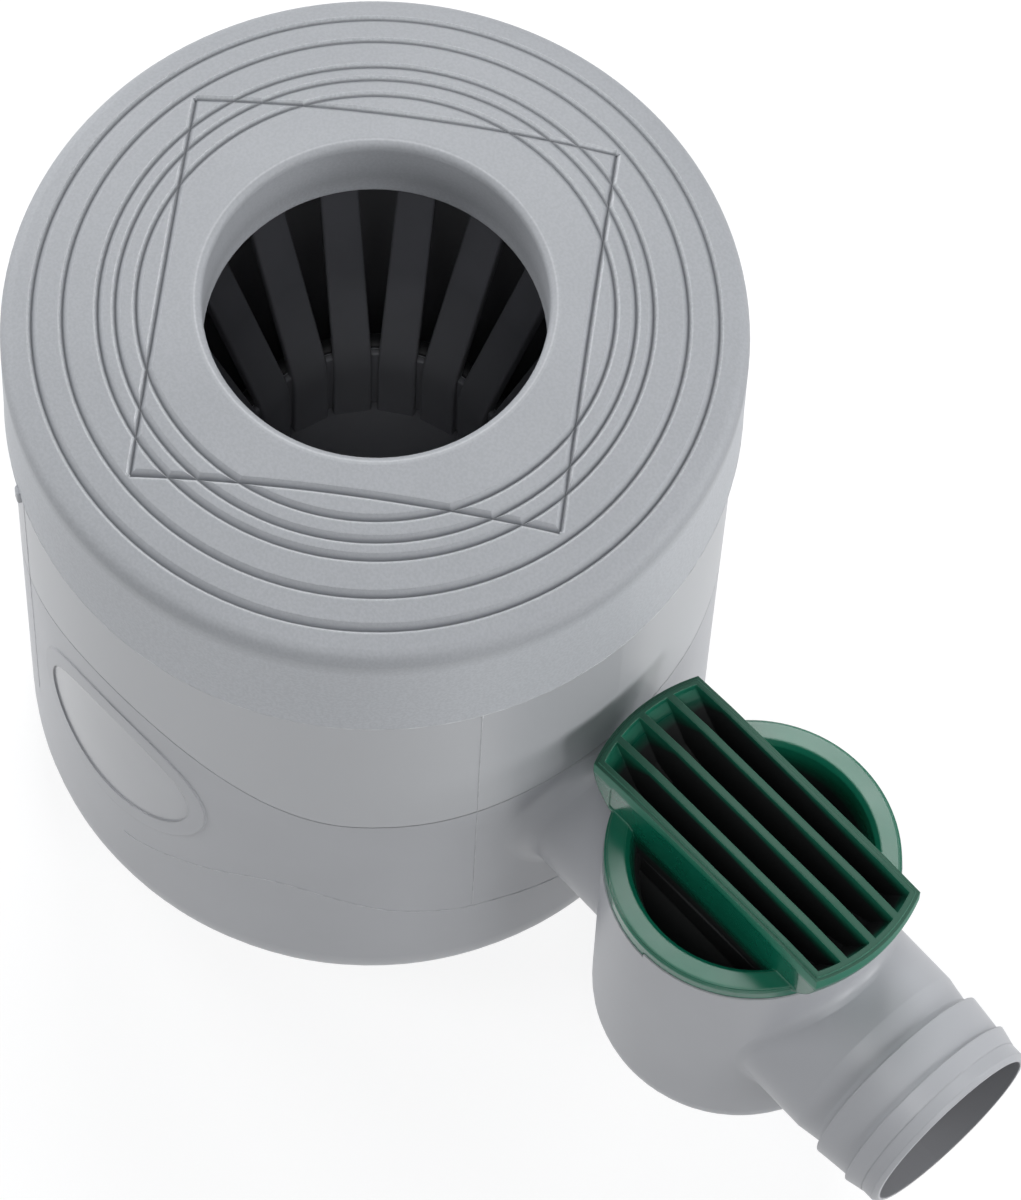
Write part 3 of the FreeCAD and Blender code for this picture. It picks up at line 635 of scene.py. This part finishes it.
bar_run = [(radius / 1000, 0.0, height / 1000) for radius, height in bar_points_mm]
basket = settled("leaf_basket_moulding", path_mesh("bar_path", [bar_run]), tree, basket_values)
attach(basket, "housing_body")
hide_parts("leaf_basket")


# The shut-off plug: bottle green polypropylene with a high polish. Its flange and walls
# mirror the soft box, broken up by the slight waves of thin moulded faces. Light hardly
# reaches down its narrow slots and pockets, so the green falls to near black with depth,
# and in the slots it does so later towards their ends, which lie more open to the light.
plug_cloud_mm = 7.0
plug_wave_mm = 9.0
plug_wave_depth_mm = 0.13
plug_edge_mm = 0.45
grip_top_mm = 84.8
grip_half_length_mm = 25.9
grip_top_zone_mm = (4.0, 3.0)
facing_up_limit = 0.8
slots_half_width_mm = 9.35
slot_fade_mm = (0.5, 1.7)
slot_end_heights_mm = (75.0, 82.0)
slot_end_radii_mm = (21.1, 25.0)
outer_end_stretch = 3.0  # how many times deeper light reaches at a slot's outer end
inner_end_stretch = 5.0
inner_end_mm = (17.0, 24.5)  # from the pot's axis, where the inner ends start to be lit and are lit
pocket_fade_mm = (12.0, 15.5)
pocket_radius_mm = 20.0
plug_roughness = 0.2
grip_top_roughness = 0.55
unlit_roughness = 0.7
plug_highlight_edge_mm = 0.13
plug_highlight_turn = (0.985, 0.9)  # cosines between a face and its rounded normal at an edge
plug_highlight_share = 0.4

plug_plastic = new_material("polypropylene_gloss_bottle_green")
tree = plug_plastic.node_tree
place = add(tree, "ShaderNodeTexCoord").outputs["Object"]
parts = add(tree, "ShaderNodeSeparateXYZ", {0: place}).outputs
cloud = add(tree, "ShaderNodeTexNoise", {"Vector": place, "Scale": 1000 / plug_cloud_mm, "Detail": 3.0})
cloudy_tint = add(tree, "ShaderNodeValToRGB", {0: cloud})
two_tints(cloudy_tint, (0.3, "#0f6750"), (0.7, "#136f57"))

sideways = add(tree, "ShaderNodeMath", {0: parts["Y"]}, operation="ABSOLUTE")
between_walls = add(tree, "ShaderNodeMath", {0: sideways, 1: slots_half_width_mm / 1000},
                    operation="LESS_THAN")
off_pot = add(tree, "ShaderNodeVectorMath", {0: place, 1: (pot_axis_mm / 1000, 0.0, 0.0)},
              operation="SUBTRACT")
flat_off_pot = add(tree, "ShaderNodeVectorMath", {0: off_pot, 1: (1.0, 1.0, 0.0)}, operation="MULTIPLY")
from_pot = add(tree, "ShaderNodeVectorMath", {0: flat_off_pot}, operation="LENGTH")
slot_end = add(tree, "ShaderNodeMapRange", {
    "Value": parts["Z"],
    "From Min": slot_end_heights_mm[0] / 1000, "From Max": slot_end_heights_mm[1] / 1000,
    "To Min": slot_end_radii_mm[0] / 1000, "To Max": slot_end_radii_mm[1] / 1000})
between_ends = add(tree, "ShaderNodeMath", {0: from_pot, 1: slot_end}, operation="LESS_THAN")
in_slots = add(tree, "ShaderNodeMath", {0: between_walls, 1: between_ends}, operation="MULTIPLY")
outer_stretch = add(tree, "ShaderNodeMapRange", {
    "Value": parts["X"], "From Min": pot_axis_mm / 1000,
    "From Max": (pot_axis_mm + grip_half_length_mm) / 1000, "To Min": 1.0, "To Max": outer_end_stretch})
inner_stretch = add(tree, "ShaderNodeMapRange", {
    "Value": parts["X"], "From Min": (pot_axis_mm - inner_end_mm[0]) / 1000,
    "From Max": (pot_axis_mm - inner_end_mm[1]) / 1000, "To Min": 1.0, "To Max": inner_end_stretch})
stretch = add(tree, "ShaderNodeMath", {0: outer_stretch, 1: inner_stretch}, operation="MAXIMUM")
under_top = add(tree, "ShaderNodeMath", {0: grip_top_mm / 1000, 1: parts["Z"]}, operation="SUBTRACT")
dark_depth = add(tree, "ShaderNodeMath", {0: under_top, 1: stretch}, operation="DIVIDE")
slot_depth = add(tree, "ShaderNodeMapRange", {
    "Value": dark_depth, "From Min": slot_fade_mm[0] / 1000, "From Max": slot_fade_mm[1] / 1000})
unlit_slot = add(tree, "ShaderNodeMath", {0: slot_depth, 1: in_slots}, operation="MULTIPLY")
pocket_depth = add(tree, "ShaderNodeMapRange", {
    "Value": parts["Z"], "From Min": (grip_top_mm - pocket_fade_mm[0]) / 1000,
    "From Max": (grip_top_mm - pocket_fade_mm[1]) / 1000})
inside_flange = add(tree, "ShaderNodeMath", {0: from_pot, 1: pocket_radius_mm / 1000},
                    operation="LESS_THAN")
unlit_pocket = add(tree, "ShaderNodeMath", {0: pocket_depth, 1: inside_flange}, operation="MULTIPLY")
unlit = add(tree, "ShaderNodeMath", {0: unlit_slot, 1: unlit_pocket}, operation="MAXIMUM")

face = add(tree, "ShaderNodeNewGeometry").outputs["True Normal"]
upward = add(tree, "ShaderNodeSeparateXYZ", {0: face}).outputs["Z"]
facing_up = add(tree, "ShaderNodeMath", {0: upward, 1: facing_up_limit}, operation="GREATER_THAN")
on_grip = add(tree, "ShaderNodeMath", {0: parts["Z"], 1: (grip_top_mm - grip_top_zone_mm[0]) / 1000},
              operation="GREATER_THAN")
grip_top = add(tree, "ShaderNodeMath", {0: facing_up, 1: on_grip}, operation="MULTIPLY")
# The grip's upward faces are painted a darker green: painted shade, where they mirror less of the soft
# box.
grip_top_shade_tint = add(tree, "ShaderNodeMix", {"Factor": grip_top, 6: cloudy_tint, 7: linear("#084735")},
               data_type="RGBA")
shaded_tint = add(tree, "ShaderNodeMix", {"Factor": unlit, 6: grip_top_shade_tint, 7: linear("#0c0f10")},
                  data_type="RGBA")
# Painted highlights: the lit edges are painted pale green, where rounded edges catch the soft box.
fine_round = add(tree, "ShaderNodeBevel", {"Radius": plug_highlight_edge_mm / 1000}, samples=6)
turned = add(tree, "ShaderNodeVectorMath", {0: face, 1: fine_round}, operation="DOT_PRODUCT")
edge = add(tree, "ShaderNodeMapRange", {
    "Value": turned, "From Min": plug_highlight_turn[0], "From Max": plug_highlight_turn[1],
    "To Max": plug_highlight_share})
in_reach = add(tree, "ShaderNodeMath", {0: 1.0, 1: unlit}, operation="SUBTRACT")
painted_highlight = add(tree, "ShaderNodeMath", {0: edge, 1: in_reach}, operation="MULTIPLY")
plug_tint = add(tree, "ShaderNodeMix", {"Factor": painted_highlight, 6: shaded_tint, 7: linear("#79bea3")},
                data_type="RGBA")

wave = add(tree, "ShaderNodeTexNoise", {"Vector": place, "Scale": 1000 / plug_wave_mm, "Detail": 1.0})
rounded = add(tree, "ShaderNodeBevel", {"Radius": plug_edge_mm / 1000}, samples=6)
bump = add(tree, "ShaderNodeBump", {"Strength": 0.5, "Distance": plug_wave_depth_mm / 1000,
                                    "Height": wave, "Normal": rounded})
lit_roughness = add(tree, "ShaderNodeMapRange", {
    "Value": parts["Z"], "From Min": (grip_top_mm - grip_top_zone_mm[0]) / 1000,
    "From Max": (grip_top_mm - grip_top_zone_mm[1]) / 1000,
    "To Min": plug_roughness, "To Max": grip_top_roughness})
dark_roughness = add(tree, "ShaderNodeMath", {0: unlit, 1: unlit_roughness}, operation="MULTIPLY")
roughness = add(tree, "ShaderNodeMath", {0: lit_roughness, 1: dark_roughness}, operation="MAXIMUM")
shell = add(tree, "ShaderNodeBsdfPrincipled", {"Base Color": plug_tint, "Roughness": roughness,
                                               "IOR": polypropylene_ior, "Normal": bump})
add(tree, "ShaderNodeOutputMaterial", {0: shell})
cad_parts["shutoff_plug"].material_slots[0].material = plug_plastic


# The two seals: nitrile rubber rings in the plug's grooves, moulded with a dull skin.
bloom_mm = 3.0
bloom_depth_mm = 0.02

seal_rubber = new_material("nitrile_rubber_moulded_black")
tree = seal_rubber.node_tree
place = add(tree, "ShaderNodeTexCoord").outputs["Object"]
bloom = add(tree, "ShaderNodeTexNoise", {"Vector": place, "Scale": 1000 / bloom_mm, "Detail": 2.0})
rubber_tint = add(tree, "ShaderNodeValToRGB", {0: bloom})
two_tints(rubber_tint, (0.0, "#17181a"), (1.0, "#232427"))
bump = add(tree, "ShaderNodeBump", {"Strength": 0.3, "Distance": bloom_depth_mm / 1000, "Height": bloom})
shell = add(tree, "ShaderNodeBsdfPrincipled", {"Base Color": rubber_tint, "Roughness": 0.6,
                                               "IOR": 1.5, "Normal": bump})
add(tree, "ShaderNodeOutputMaterial", {0: shell})
for seal in ("plug_seal_upper", "plug_seal_lower"):
    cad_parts[seal].material_slots[0].material = seal_rubber


# The ring on the standpipe's edge: a flat ring of the same rubber on the top of the wall,
# a dark piece put there as painted shade between the basket's bars. It is lathed from its section.
trim_inner_mm = 21.65
trim_outer_mm = 24.0
trim_low_mm = 76.22
trim_top_mm = 76.75
trim_round_mm = 0.2
trim_steps = 144

trim_section = [(trim_inner_mm, trim_low_mm), (trim_outer_mm, trim_low_mm),
                (trim_outer_mm, trim_top_mm - trim_round_mm), (trim_outer_mm - trim_round_mm, trim_top_mm),
                (trim_inner_mm + trim_round_mm, trim_top_mm), (trim_inner_mm, trim_top_mm - trim_round_mm)]
points, faces = [], []
for step in range(trim_steps):
    angle = 2 * math.pi * step / trim_steps
    points += [(radius * math.cos(angle) / 1000, radius * math.sin(angle) / 1000, height / 1000)
               for radius, height in trim_section]
    here = step * len(trim_section)
    there = (step + 1) % trim_steps * len(trim_section)
    for corner in range(len(trim_section)):
        after = (corner + 1) % len(trim_section)
        faces.append((here + corner, there + corner, there + after, here + after))
trim_mesh = bpy.data.meshes.new("standpipe_shade_ring")
trim_mesh.from_pydata(points, [], faces)
finish_faces(trim_mesh, sharp_degrees=50)
trim_mesh.materials.append(seal_rubber)
trim = bpy.data.objects.new("standpipe_shade_ring", trim_mesh)
bpy.context.collection.objects.link(trim)
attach(trim, "housing_body")
